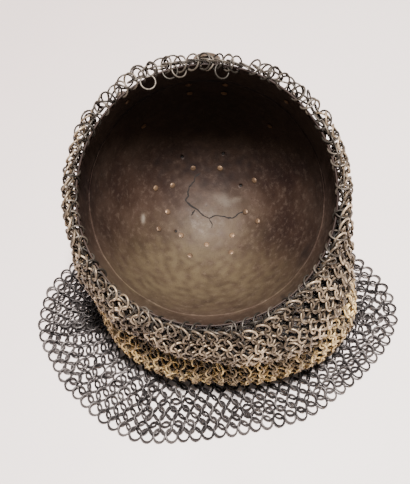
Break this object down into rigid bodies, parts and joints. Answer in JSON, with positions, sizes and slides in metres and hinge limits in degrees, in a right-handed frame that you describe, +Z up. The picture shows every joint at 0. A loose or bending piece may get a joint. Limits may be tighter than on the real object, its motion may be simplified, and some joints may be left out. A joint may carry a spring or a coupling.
{
  "type": "kulah khud helmet",
  "caption": "Steel bowl helmet lying mouth up, with a riveted crown rosette, spike, sliding nasal bar, plume tubes and a ringed mail neck guard fanned out on the table.",
  "frame": {"origin": "on the table under the middle of the whole part as it lies", "axes": "+Z up from the table, +X to the viewer's right, +Y away from the viewer, towards the helmet's face side"},
  "size_m": [0.3332, 0.3166, 0.2073],
  "materials": {
    "bowl_steel": "brown patina, worn bright where hammered",
    "fitting_steel": "dull brown steel",
    "rivet_steel": "peened and worn",
    "mail_steel": "grey-brown wire",
    "mail_dark_steel": "dark grey wire",
    "mail_brass": "aged brass wire"
  },
  "bodies": {
    "helmet": {"bowl": "bowl_steel", "brass_mail_band": "mail_brass", "crown_inner_rivets": "rivet_steel", "crown_outer_rivets": "rivet_steel", "crown_plate": "fitting_steel", "mail_skirt_front": "mail_dark_steel", "mail_skirt_left": "mail_dark_steel", "mail_skirt_right": "mail_dark_steel", "nasal_bracket": "fitting_steel", "nasal_bracket_rivets": "rivet_steel", "plume_holder_left": "fitting_steel", "plume_holder_right": "fitting_steel", "plume_rivets": "rivet_steel", "rim_links": "mail_steel", "second_links": "mail_steel", "spike": "fitting_steel", "spike_base": "fitting_steel", "upper_mail": "mail_steel"},
    "nasal_bar": {"nasal_bar": "fitting_steel"},
    "nasal_screw": {"nasal_screw": "rivet_steel"}
  },
  "joints": [
    {"name": "nasal_slide", "type": "slide", "parent": "helmet", "child": "nasal_bar", "axis": [0, -0.284, 0.9588], "range_m": [0, 0.07]},
    {"name": "screw_turn", "type": "hinge", "parent": "helmet", "child": "nasal_screw", "pos_m": [-0.008, 0.12898, 0.15707], "axis": [0, 0.9588, 0.284], "range_deg": [0, 180]}
  ]
}
